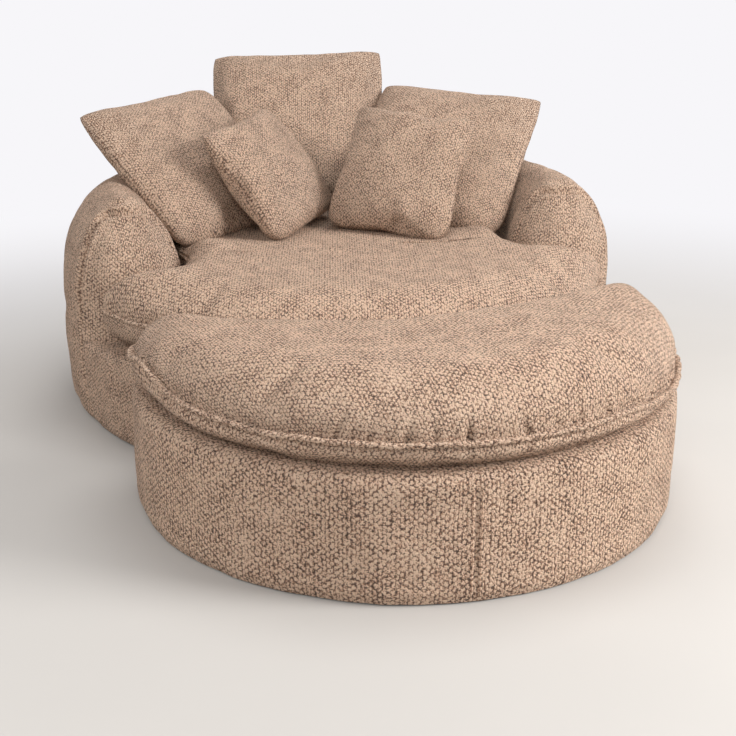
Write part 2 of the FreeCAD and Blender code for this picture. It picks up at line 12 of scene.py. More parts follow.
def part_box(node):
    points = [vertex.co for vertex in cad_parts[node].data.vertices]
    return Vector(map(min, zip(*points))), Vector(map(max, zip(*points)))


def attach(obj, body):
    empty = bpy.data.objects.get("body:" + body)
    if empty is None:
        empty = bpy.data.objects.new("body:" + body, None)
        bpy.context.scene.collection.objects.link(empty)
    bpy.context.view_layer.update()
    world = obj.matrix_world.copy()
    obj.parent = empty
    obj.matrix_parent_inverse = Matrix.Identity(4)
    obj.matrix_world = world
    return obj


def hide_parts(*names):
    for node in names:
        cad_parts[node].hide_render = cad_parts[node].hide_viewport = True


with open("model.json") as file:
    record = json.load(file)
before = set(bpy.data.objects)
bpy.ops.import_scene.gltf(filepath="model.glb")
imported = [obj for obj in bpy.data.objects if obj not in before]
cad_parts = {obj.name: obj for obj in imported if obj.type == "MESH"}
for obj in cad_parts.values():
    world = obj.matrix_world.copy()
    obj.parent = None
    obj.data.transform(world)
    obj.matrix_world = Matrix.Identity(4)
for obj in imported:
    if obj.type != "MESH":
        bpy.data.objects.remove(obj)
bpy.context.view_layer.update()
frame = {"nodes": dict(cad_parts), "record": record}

bl_info = {
    "name": "Round lounge chair",
    "version": (1, 0, 0),
    "blender": (4, 5, 0),
    "location": "3D View > Sidebar > Lounge chair",
    "description": "Soft covers, cushions and pillows of a round lounge chair with an ottoman",
    "category": "Object",
}

PILLOWS = {
    # name: side, half thickness, centre, facing, lean and turn in its plane, seed of its lumps
    "pillow_left": (0.455, 0.072, (-0.354, 0.458, 0.570), 35, 49, 5, 3),
    "pillow_small_left": (0.325, 0.056, (-0.166, 0.349, 0.560), 48, 37, 7, 8),
    "pillow_back": (0.480, 0.072, (-0.033, 0.671, 0.610), -14, 31, 2, 5),
    "pillow_small_right": (0.335, 0.056, (0.165, 0.263, 0.561), -37, 32, -3, 11),
    "pillow_right": (0.465, 0.072, (0.312, 0.419, 0.567), -32, 48, -4, 14),
}
# Creases in the front of a pillow, as shares of its half side to the right and up
CREASES = {
    "pillow_small_left": (
        ((-0.62, -0.20), (-0.25, 0.02), (0.15, 0.05)),
        ((-0.20, -0.55), (0.15, -0.28), (0.55, -0.22)),
    ),
    "pillow_left": (((0.10, -0.75), (0.05, -0.35), (-0.15, -0.05)),),
    "pillow_right": (((0.15, -0.60), (0.30, -0.10), (0.25, 0.35)),),
}
# Degrees from the middle of the front at which each arm ends
ARM_END = 77.0
# Columns of the back's grid that its two upright seams follow
BACK_SEAMS = (50, 149)
# Radii at which the weave outside and inside the back is true to size
OUTER_WEAVE, INNER_WEAVE = 0.66, 0.52
# How much finer than on the ottoman the cloth's face is
CHAIR_FINENESS, CUSHION_FINENESS, PILLOW_FINENESS = 1.3, 1.2, 1.4
# Length, width and height of a stitch and of a staple's crown
STITCH, STAPLE = (0.0065, 0.0010, 0.0010), (0.010, 0.0012, 0.0006)
UP = np.array([0.0, 0.0, 1.0])


def linear(code):
    """Linear colour of an sRGB hex value."""
    parts = [(code >> shift & 255) / 255 for shift in (16, 8, 0)]
    return [part / 12.92 if part <= 0.04045 else ((part + 0.055) / 1.055) ** 2.4 for part in parts]


def length(name, description, default):
    return bpy.props.FloatProperty(name=name, description=description, default=default, unit="LENGTH")


def colour(name, description, code):
    return bpy.props.FloatVectorProperty(
        name=name, description=description, default=linear(code), subtype="COLOR", min=0, max=1)


class LoungeSizes(bpy.types.PropertyGroup):
    """Sizes that the covers are cut to."""
    chair_y: length("Chair axis", "Distance of the chair's upright axis behind the origin", 0.287)
    roll_circle: length("Roll circle", "Radius of the line that the back and arms follow", 0.575)
    roll_top: length("Roll top", "Height of the back and arms", 0.552)
    belly: length("Belly", "Half width of the back and arms where they are widest", 0.141)
    belly_level: length("Belly level", "Height at which the back and arms are widest", 0.322)
    foot_level: length("Foot level", "Height at which the arms meet the base", 0.226)
    hem: length("Hem", "Gap between the covers and the floor", 0.003)
    seat_seam: length("Seat seam", "Height of the seat cushion's seam", 0.318)
    seat_crown: length("Seat crown", "Height of the seat cushion's crown", 0.412)
    ottoman_y: length("Ottoman axis", "Distance of the ottoman's round front's axis from the origin", -0.413)
    ottoman_radius: length("Ottoman radius", "Radius of the ottoman's round front", 0.586)
    ottoman_top: length("Ottoman top", "Height of the ottoman under its cushion", 0.258)
    cushion_seam: length("Cushion seam", "Height of the ottoman cushion's seam", 0.312)
    cushion_crown: length("Cushion crown", "Height of the ottoman cushion's crown", 0.446)
    knot_width: length("Knot width", "Width of one repeat of the chenille's knots", 0.016)
    knot_height: length("Knot height", "Height of one repeat of the chenille's knots", 0.012)


class LoungeColours(bpy.types.PropertyGroup):
    """Colours of the fabrics, boards and fittings."""
    # Painted shade: this dark colour between the chenille's knots stands in for the shade that falls in the
    # gaps
    pile_gap_shade: colour("Pile gaps", "Chenille between the knots", 0x45260F)
    pile: colour("Pile", "Chenille on the knots", 0xC89777)
    # Painted highlight: this pale colour on the knots' tops stands in for the light that the pile catches
    pile_tip_highlight: colour("Pile tips", "Chenille on the knots' tops", 0xFCDBBE)
    dust_cloth: colour("Dust cloth", "Cloth under the bases and over the seat deck", 0x26241F)
    webbing: colour("Webbing", "Elastic webbing of the seat", 0x4A4138)
    plywood: colour("Plywood", "Boards", 0xC9A06B)
    timber: colour("Timber", "Posts and ribs", 0xD2AE7C)
    zinc: colour("Zinc", "Screws and bolts", 0xB4B6B8)
    glide: colour("Glide", "Moulded glides", 0x1E1D1C)
    floor: colour("Floor", "Studio floor", 0xB3AFAA)
    wall: colour("Wall", "Studio wall", 0xF7F6F9)


# Plan outlines: closed rows of points, anticlockwise from the middle of the front


def around(centre, radius, start, end, count):
    """Points of an arc in plan, by its angles in degrees from the front, both ends included."""
    turn = np.radians(np.linspace(start, end, count))
    return np.stack([centre[0] + radius * np.sin(turn), centre[1] - radius * np.cos(turn)], 1)


def walked(path):
    """The way from the start of a path to each of its points."""
    return np.concatenate([[0], np.cumsum(np.linalg.norm(np.diff(path, axis=0), axis=1))])


def looped(ring):
    """The ring's points with its first again at the end."""
    return np.vstack([ring, ring[:1]])


def unit(rows):
    return rows / np.linalg.norm(rows, axis=1, keepdims=True)


def headings(ring):
    """Unit vectors along a closed ring of points."""
    return unit(np.roll(ring, -1, 0) - np.roll(ring, 1, 0))


def evenly(points, count):
    """The closed outline again, with its points a steady step apart."""
    closed = looped(points)
    walk = walked(closed)
    wanted = np.linspace(0, walk[-1], count, endpoint=False)
    return np.stack([np.interp(wanted, walk, closed[:, axis]) for axis in (0, 1)], 1)


def outward_of(ring):
    """Unit vectors out of a closed plan outline that runs anticlockwise."""
    ahead = headings(ring)
    return np.stack([ahead[:, 1], -ahead[:, 0]], 1)


def mirrored(arcs):
    """The outline whose right half is made of these arcs."""
    half = np.vstack(arcs)
    return np.vstack([half, (half * [-1, 1])[::-1]])


def spun(turn):
    """Matrix that turns plan points, as rows, anticlockwise."""
    return np.array([[math.cos(turn), math.sin(turn)], [-math.sin(turn), math.cos(turn)]])


def front_angle(vector):
    return math.degrees(math.atan2(vector[0], -vector[1]))


def seat_outline(sizes):
    """Round front, waist round the two arm ends and round back, from the middle of the front."""
    centre = np.array([0, sizes.chair_y])
    circle, back, front, tip_edge = sizes.roll_circle, 0.425, 0.700, 0.036
    waist = circle - back
    arm = around(centre, circle, ARM_END, ARM_END, 1)[0]
    swing = (circle**2 + front**2 - (waist + tip_edge) ** 2) / (2 * circle * front)
    tip_angle = ARM_END - math.degrees(math.acos(swing))
    tip = around(centre, front, tip_angle, tip_angle, 1)[0]
    first, last = front_angle(tip - arm), front_angle(centre - arm)
    return mirrored([
        around(centre, front, 0, tip_angle, 200),
        around(arm, waist, first, last - 360 if last > first else last, 120),
        around(centre, back, ARM_END, 180, 240),
    ])


def moon_outline(sizes, inset=0.0, back_gap=0.0):
    """Round front, two rounded horns and a back hollowed round the chair."""
    horn = 0.080
    front = sizes.ottoman_radius - inset
    back = 0.735 + back_gap + inset
    gap = sizes.chair_y - sizes.ottoman_y
    along = ((front - horn) ** 2 - (back + horn) ** 2 - gap**2) / (2 * gap)
    across = math.sqrt((back + horn) ** 2 - along**2)
    corner = np.array([across, sizes.chair_y + along])
    ottoman, chair = np.array([0, sizes.ottoman_y]), np.array([0, sizes.chair_y])
    first, last = front_angle(corner - ottoman), front_angle(chair - corner)
    return mirrored([
        around(ottoman, front, 0, first, 240),
        around(corner, horn, first, last % 360, 90),
        around(chair, back, front_angle(corner - chair), 0, 160),
    ])


def moon_middle(sizes):
    """A spot well inside the half moon, which grids over it spread from."""
    return np.array([0, sizes.ottoman_y - 0.30])


def turned_plan(points, degrees, centre_y):
    return (points - [0, centre_y]) @ spun(math.radians(degrees)) + [0, centre_y]


# Meshes


def lumps(points, reach, seed):
    """Smooth noise at points, one wave about reach long."""
    shift = Vector((seed * 3.7, seed * 1.9, seed * 5.3))
    return np.array([noise.noise(Vector(point) / reach + shift) for point in points.reshape(-1, 3)]).reshape(
        points.shape[:-1])


def patch(points, weave, closed=0.0):
    """A sheet of quads through a grid of points, with its weave coordinates in metres. A closed sheet's last
    row meets its first, and closed is the way round it."""
    rows, columns = points.shape[:2]
    index = np.arange(rows * columns).reshape(rows, columns)
    if closed:
        index = np.vstack([index, index[:1]])
        weave = np.vstack([weave, weave[:1] + closed * np.array([1.0, 0.0])])
    quads = np.stack([index[:-1, :-1], index[1:, :-1], index[1:, 1:], index[:-1, 1:]], -1).reshape(-1, 4)
    corner = np.stack([weave[:-1, :-1], weave[1:, :-1], weave[1:, 1:], weave[:-1, 1:]], -2).reshape(-1, 4, 2)
    return points.reshape(-1, 3), quads, corner


def raised(plan, level):
    """Points over plan points, at one height or at a height each."""
    return np.concatenate([plan, np.broadcast_to(level, plan.shape[:-1])[..., None]], -1)


def made(name, points, edges, faces):
    """A new object in the scene, of points, edges and faces."""
    mesh = bpy.data.meshes.new(name)
    mesh.from_pydata(points, edges, faces)
    piece = bpy.data.objects.new(name, mesh)
    bpy.context.scene.collection.objects.link(piece)
    return piece


def sewn(name, patches, material, fineness=1.0):
    """One object of several sheets, sewn together where their edges meet, in a cloth of some fineness."""
    start, points, quads, weave = 0, [], [], []
    for patch_points, patch_quads, patch_weave in patches:
        points.append(patch_points)
        quads.append(patch_quads + start)
        weave.append(patch_weave * fineness)
        start += len(patch_points)
    piece = made(name, np.vstack(points).tolist(), [], np.vstack(quads).tolist())
    mesh = piece.data
    layer = mesh.uv_layers.new(name="weave")
    layer.data.foreach_set("uv", np.vstack(weave).reshape(-1))
    edit = bmesh.new()
    edit.from_mesh(mesh)
    bmesh.ops.remove_doubles(edit, verts=edit.verts, dist=2e-5)
    bmesh.ops.recalc_face_normals(edit, faces=edit.faces)
    edit.to_mesh(mesh)
    edit.free()
    mesh.shade_smooth()
    mesh.materials.append(material)
    return piece


def made_plain(piece):
    """The piece with its modifiers worked into its mesh."""
    fixed = bpy.data.meshes.new_from_object(piece.evaluated_get(bpy.context.evaluated_depsgraph_get()))
    piece.modifiers.clear()
    spare, piece.data = piece.data, fixed
    bpy.data.meshes.remove(spare)
    fixed.name = piece.name
    return piece


def subdivided(piece):
    """The piece with one subdivision worked in."""
    step = piece.modifiers.new("Smooth", "SUBSURF")
    step.levels = step.render_levels = 1
    return made_plain(piece)


def rows_of(items, key):
    """A vector of each of a mesh's items, as rows."""
    out = np.empty(len(items) * 3)
    items.foreach_get(key, out)
    return out.reshape(-1, 3)


def places(piece):
    return rows_of(piece.data.vertices, "co")


def set_places(piece, points):
    piece.data.vertices.foreach_set("co", np.ascontiguousarray(points).reshape(-1))
    piece.data.update()


def near_path(points, path):
    """Distance of each point from a bent line, and its share of the way along it."""
    best = np.full(len(points), 1e9)
    share = np.zeros(len(points))
    runs = len(path) - 1
    for number in range(runs):
        start, step = path[number], path[number + 1] - path[number]
        along = np.clip(((points - start) @ step) / (step @ step), 0, 1)
        far = np.linalg.norm(points - start - along[:, None] * step, axis=1)
        closer = far < best
        best[closer] = far[closer]
        share[closer] = (number + along[closer]) / runs
    return best, share


def creased(points, path, depth, width):
    """Depth of a soft crease along a line: a pinched groove between two low swells, fading at its ends."""
    path = np.asarray(path, float)
    margin = 5 * width
    close = np.all((points > path.min(0) - margin) & (points < path.max(0) + margin), axis=1)
    far, share = near_path(points[close], path)
    fade = np.sin(np.pi * np.clip(share, 0.02, 0.98)) ** 0.6
    out = np.zeros(len(points))
    out[close] = depth * fade * (0.35 * np.exp(-((far / width - 2.2) ** 2)) - np.exp(-((far / width) ** 2)))
    return out


def outward_normals(piece):
    return rows_of(piece.data.vertex_normals, "vector")


def push(piece, move):
    """Moves each point of a piece along its normal."""
    set_places(piece, places(piece) + outward_normals(piece) * move[:, None])


def disc_grid(steps):
    """A square grid squeezed to a disc: share of the radius and share of the way round."""
    line = np.linspace(-1, 1, 2 * steps + 1)
    a, b = np.meshgrid(line, line, indexing="ij")
    share = np.maximum(np.abs(a), np.abs(b))
    safe = np.where(share == 0, 1, share)
    a, b = a / safe, b / safe
    way = np.where(a >= 1, b, np.where(b >= 1, 2 - a, np.where(a <= -1, 4 - b, 6 + a)))
    return share, (way % 8) / 8


def spread_over(ring, middle, share, way):
    """Plan points of a disc's grid, spread from a middle to a ring."""
    edge = ring[np.rint(way * len(ring)).astype(int) % len(ring)]
    return middle + (edge - middle) * share[..., None]


def inflated(pieces, pressure, frames, cap):
    """Cloth pressure blows each closed piece up, by no more than its cap."""
    starts = [places(piece) for piece in pieces]
    for piece in pieces:
        cloth = piece.modifiers.new("Inflate", "CLOTH")
        settings = cloth.settings
        settings.quality = 5
        settings.mass = 0.4
        settings.tension_stiffness = settings.compression_stiffness = 18
        settings.shear_stiffness = 8
        settings.bending_stiffness = 1.2
        settings.use_pressure = True
        settings.uniform_pressure_force = pressure
        settings.effector_weights.gravity = 0
        cloth.collision_settings.use_collision = False
        cloth.collision_settings.use_self_collision = False
    scene = bpy.context.scene
    for number in range(1, frames + 1):
        scene.frame_set(number)
    graph = bpy.context.evaluated_depsgraph_get()
    for piece, start in zip(pieces, starts):
        blown = piece.evaluated_get(graph)
        move = rows_of(blown.to_mesh().vertices, "co") - start
        blown.to_mesh_clear()
        far = np.linalg.norm(move, axis=1, keepdims=True)
        move *= np.minimum(1, cap / np.maximum(far, 1e-9))
        piece.modifiers.clear()
        set_places(piece, start + move)
    scene.frame_set(1)


# Materials


def add(tree, kind, settings=None, **links):
    """One node with its settings, and its inputs set or linked by name or number."""
    node = tree.nodes.new(kind)
    for key, value in (settings or {}).items():
        setattr(node, key, value)
    for key, value in links.items():
        numbered = key[0] == "_" and key[1:].isdigit()
        socket = node.inputs[int(key[1:]) if numbered else key.replace("_", " ")]
        if isinstance(value, bpy.types.NodeSocket):
            tree.links.new(value, socket)
        else:
            socket.default_value = value
    return node


def surface(name):
    """A new material, its tree and its shader."""
    material = bpy.data.materials.new(name)
    material.use_nodes = True
    tree = material.node_tree
    return material, tree, tree.nodes["Principled BSDF"]


def rgba(value):
    return (*value, 1.0)


def worked(tree, operation, *values):
    """Output of a maths node on numbers or outputs."""
    links = {f"_{number}": value for number, value in enumerate(values)}
    return add(tree, "ShaderNodeMath", {"operation": operation}, **links).outputs[0]


def shifted(tree, operation, first, second):
    """Output of a vector maths node on two vectors."""
    return add(tree, "ShaderNodeVectorMath", {"operation": operation}, _0=first, _1=second).outputs[0]


def speckle(tree, place, grain, **settings):
    """Noise whose grains are about a length across."""
    return add(tree, "ShaderNodeTexNoise", Vector=place, Scale=1 / grain, **settings).outputs[0]


def spread(tree, value, low, high):
    """The part of a value's range from low to high, stretched to 0 to 1."""
    return add(tree, "ShaderNodeMapRange", _0=value, _1=low, _2=high).outputs[0]


def blended(tree, share, low, high):
    """A ramp between two colours."""
    ramp = add(tree, "ShaderNodeValToRGB", _0=share)
    ramp.color_ramp.elements[0].color = rgba(low)
    ramp.color_ramp.elements[1].color = rgba(high)
    return ramp


def shaded(tone, times):
    return [min(1, part * times) for part in tone]


def coat(tree, shader, ramp, roughness, height=None, strength=1.0, depth=0.001):
    """Colour, roughness and relief of a shader."""
    tree.links.new(ramp.outputs[0], shader.inputs["Base Color"])
    shader.inputs["Roughness"].default_value = roughness
    if height is not None:
        bump = add(tree, "ShaderNodeBump", Height=height, Strength=strength, Distance=depth)
        tree.links.new(bump.outputs[0], shader.inputs["Normal"])


def object_place(tree):
    return add(tree, "ShaderNodeTexCoord").outputs["Object"]


def chunky_chenille(sizes, colours):
    """Chenille yarn knitted in staggered knots: soft and deep, with painted shade between the knots and a
    painted highlight where the pile catches the light on their tops, with no gloss."""
    _, tree, shader = surface("chunky_chenille")
    weave = add(tree, "ShaderNodeUVMap", {"uv_map": "weave"}).outputs[0]
    sway = add(tree, "ShaderNodeTexNoise", Vector=weave, Scale=1 / 0.009, Detail=1.0)
    off = shifted(tree, "SUBTRACT", sway.outputs["Color"], (0.5, 0.5, 0.5))
    bend = add(tree, "ShaderNodeVectorMath", {"operation": "SCALE"}, _0=off, Scale=0.009)
    bent = shifted(tree, "ADD", weave, bend.outputs[0])
    parts = add(tree, "ShaderNodeSeparateXYZ", _0=bent)
    ovals = []
    for stagger in (0.0, 0.5):
        squares = []
        for output, pitch, half in (("X", sizes.knot_width, 0.30), ("Y", sizes.knot_height, 0.56)):
            moved = worked(tree, "ADD", parts.outputs[output], stagger * pitch)
            local = worked(tree, "WRAP", moved, pitch / 2, -pitch / 2)
            squares.append(worked(tree, "POWER", worked(tree, "DIVIDE", local, half * pitch), 2.0))
        ovals.append(worked(tree, "ADD", *squares))
    knot = spread(tree, worked(tree, "SMOOTH_MIN", *ovals, 0.12), 0.85, 0.0)
    tuft = spread(tree, speckle(tree, weave, 0.0080, Detail=3.0, Roughness=0.75), 0.35, 0.67)
    brushed = spread(tree, speckle(tree, weave, 0.070, Detail=4.0, Roughness=0.6), 0.30, 0.70)
    loose = spread(tree, speckle(tree, weave, 0.0026, Detail=1.0), 0.28, 0.72)
    pile = worked(tree, "MULTIPLY_ADD", loose, 1.35, worked(tree, "MULTIPLY_ADD", tuft, 1.45, knot))
    tone = worked(tree, "MULTIPLY_ADD", brushed, 0.50, pile)
    # The knots' relief is painted into the colour as well as bumped: painted shade in the gaps, the pile
    # colour between, painted highlight on the tops
    ramp = blended(tree, spread(tree, tone, 1.40, 2.40), colours.pile_gap_shade, colours.pile_tip_highlight)
    ramp.color_ramp.elements.new(0.45).color = rgba(colours.pile)
    coat(tree, shader, ramp, 0.95, pile, 1.0, 0.005)
    shader.inputs["Specular IOR Level"].default_value = 0.2
    shader.inputs["Sheen Weight"].default_value = 0.25
    shader.inputs["Sheen Roughness"].default_value = 0.6
    shader.inputs["Sheen Tint"].default_value = (0.95, 0.82, 0.72, 1)


def sewing_thread(colours):
    """Twisted polyester thread: a little darker than the pile that it sinks into, drawn partly in the pile's
    painted shade colour, with a faint shine.
    """
    _, tree, shader = surface("sewing_thread")
    twist = speckle(tree, object_place(tree), 0.003, Detail=2.0)
    # The thread's darker end is the pile's painted shade colour
    coat(tree, shader, blended(tree, twist, colours.pile_gap_shade, colours.pile), 0.55)


def dust_cloth(colours):
    """Spun-bonded polypropylene: dull, near black, with a dimpled grid."""
    material, tree, shader = surface("spunbond_dust_cloth")
    place = object_place(tree)
    dimple = add(tree, "ShaderNodeTexVoronoi", Vector=place, Scale=1 / 0.004)
    fibre = speckle(tree, place, 0.010, Detail=5.0)
    ramp = blended(tree, fibre, shaded(colours.dust_cloth, 0.7), shaded(colours.dust_cloth, 1.8))
    coat(tree, shader, ramp, 0.9, dimple.outputs[0], 0.4, 0.001)
    return material


def elastic_webbing(colours):
    """Woven elastic webbing: ribs a few millimetres apart, dull brown."""
    material, tree, shader = surface("elastic_webbing")
    rib = add(tree, "ShaderNodeTexWave", {"bands_direction": "DIAGONAL"}, Vector=object_place(tree),
              Scale=1 / 0.008, Distortion=1.0).outputs[1]
    ramp = blended(tree, rib, shaded(colours.webbing, 0.6), shaded(colours.webbing, 1.5))
    coat(tree, shader, ramp, 0.85, rib, 0.5, 0.001)
    return material


def grained_wood(name, tone, stretch, pore):
    """Sawn softwood or birch veneer: long streaks of darker grain on a pale, dry face."""
    material, tree, shader = surface(name)
    drawn = add(tree, "ShaderNodeMapping", Vector=object_place(tree), Scale=stretch)
    grain = speckle(tree, drawn.outputs[0], pore, Detail=6.0, Distortion=0.8)
    ramp = blended(tree, grain, shaded(tone, 0.62), shaded(tone, 1.1))
    ramp.color_ramp.elements[0].position = 0.3
    ramp.color_ramp.elements[1].position = 0.65
    coat(tree, shader, ramp, 0.62, grain, 0.3, 0.0008)
    return material


def zinc_plate(colours):
    """Zinc-plated steel: cool grey metal with a faint cloudy passivation."""
    material, tree, shader = surface("zinc_plated_steel")
    cloud = speckle(tree, object_place(tree), 0.004, Detail=4.0)
    rough = add(tree, "ShaderNodeMapRange", _0=cloud, _3=0.28, _4=0.48)
    coat(tree, shader, blended(tree, cloud, shaded(colours.zinc, 0.8), colours.zinc), 0.4)
    tree.links.new(rough.outputs[0], shader.inputs["Roughness"])
    shader.inputs["Metallic"].default_value = 1.0
    return material


def moulded_glide(colours):
    """Moulded polyethylene: dark, waxy and scuffed underneath."""
    material, tree, shader = surface("moulded_polyethylene")
    grit = speckle(tree, object_place(tree), 0.002, Detail=4.0)
    ramp = blended(tree, grit, colours.glide, shaded(colours.glide, 2.2))
    coat(tree, shader, ramp, 0.45, grit, 0.2, 0.0004)
    return material


def fabric():
    return bpy.data.materials["chunky_chenille"]


def finish_padded(piece, body, fill, *nodes):
    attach(piece, body)
    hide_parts(*nodes)


# Covers


def roll_profile(sizes):
    """Half section of the roll above its foot, from its foot to its crown: half width and height."""
    fullness = 1.85
    low = np.linspace(sizes.foot_level, sizes.belly_level, 10)[:-1]
    side = np.stack([sizes.belly - 0.015 * ((sizes.belly_level - low) / 0.092) ** 2, low], 1)
    turn = np.radians(np.linspace(0, 90, 34))
    rise = sizes.roll_top - sizes.belly_level
    half_width = sizes.belly * np.cos(turn) ** (2 / fullness)
    crown = np.stack([half_width, sizes.belly_level + rise * np.sin(turn) ** (2 / fullness)], 1)
    crown[-1, 0] = 0
    return np.vstack([side, crown])


def under_belly(sizes, level):
    """Share of the way down from the widest part of the roll to its foot."""
    return np.clip((sizes.belly_level - level) / (sizes.belly_level - sizes.foot_level), 0, 1)


def base_reach(level):
    """Radius of the chair's side between the floor and the arms, bulging a little."""
    return 0.699 + 0.014 * np.sin(np.clip(level / 0.130, 0, 1) * math.pi / 2)


def revolved(centre, reach, turn, heights):
    """Points round an upright axis, by their reaches, turns from the front and heights."""
    return np.stack(np.broadcast_arrays(
        centre[0] + reach * np.sin(turn), centre[1] - reach * np.cos(turn), heights), -1)


def woven(across, up):
    """Weave coordinates from the ways across and up a cloth."""
    return np.stack(np.broadcast_arrays(across, up), -1)


def eased(share):
    return share * share * (3 - 2 * share)


def on_surface(piece, path):
    """The path again, on the nearest spots of a piece."""
    return np.array([piece.closest_point_on_mesh(Vector(point))[1] for point in path])


def row_tree():
    """Node tree that lays small bars end to end along a line: stitches or staples."""
    tree = bpy.data.node_groups.new("fastening_row", "GeometryNodeTree")
    for name, kind in (("Geometry", "Geometry"), ("Spacing", "Float"), ("Bar size", "Vector"),
                       ("Slant", "Float"), ("Seed", "Int"), ("Material", "Material")):
        tree.interface.new_socket(name, in_out="INPUT", socket_type=f"NodeSocket{kind}")
    tree.interface.new_socket("Geometry", in_out="OUTPUT", socket_type="NodeSocketGeometry")
    given = add(tree, "NodeGroupInput").outputs
    line = add(tree, "GeometryNodeMeshToCurve", Mesh=given["Geometry"])
    spots = add(tree, "GeometryNodeResampleCurve", {"mode": "LENGTH"}, Curve=line.outputs[0],
                Length=given["Spacing"])
    tangent = add(tree, "GeometryNodeInputTangent")
    along = add(tree, "FunctionNodeAlignRotationToVector", {"axis": "X"}, Vector=tangent.outputs[0])
    slant = add(tree, "FunctionNodeRandomValue", {"data_type": "FLOAT"},
                _2=worked(tree, "MULTIPLY", given["Slant"], -1.0), _3=given["Slant"], Seed=given["Seed"])
    lean = add(tree, "ShaderNodeCombineXYZ", Z=slant.outputs[1])
    turned = add(tree, "FunctionNodeRotateRotation", {"rotation_space": "LOCAL"}, _0=along.outputs[0],
                 _1=lean.outputs[0])
    bar = add(tree, "GeometryNodeMeshCube", Size=given["Bar size"])
    laid = add(tree, "GeometryNodeInstanceOnPoints", Points=spots.outputs[0], Instance=bar.outputs[0],
               Rotation=turned.outputs[0])
    real = add(tree, "GeometryNodeRealizeInstances", Geometry=laid.outputs[0])
    dressed = add(tree, "GeometryNodeSetMaterial", Geometry=real.outputs[0], Material=given["Material"])
    add(tree, "NodeGroupOutput", Geometry=dressed.outputs[0])
    return tree


def fastening_row(name, paths, material, spacing, bar, slant):
    """Stitches or staples along open paths, as one plain mesh."""
    start, points, edges = 0, [], []
    for path in paths:
        points += [tuple(point) for point in path]
        edges += [(start + number, start + number + 1) for number in range(len(path) - 1)]
        start += len(path)
    row = made(name, points, edges, [])
    tree = bpy.data.node_groups.get("fastening_row") or row_tree()
    step = row.modifiers.new("Row", "NODES")
    step.node_group = tree
    wanted = {"Spacing": spacing, "Bar size": bar, "Slant": math.radians(slant), "Seed": 4,
              "Material": material}
    for item in tree.interface.items_tree:
        if item.in_out == "INPUT" and item.name in wanted:
            step[item.identifier] = wanted[item.name]
    return made_plain(row)


def stitches(body, paths):
    """Rows of stitches on the cover of a body."""
    thread = fastening_row(
        f"{body}_cover_stitches", paths, bpy.data.materials["sewing_thread"], 0.010, STITCH, 6)
    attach(thread, body)


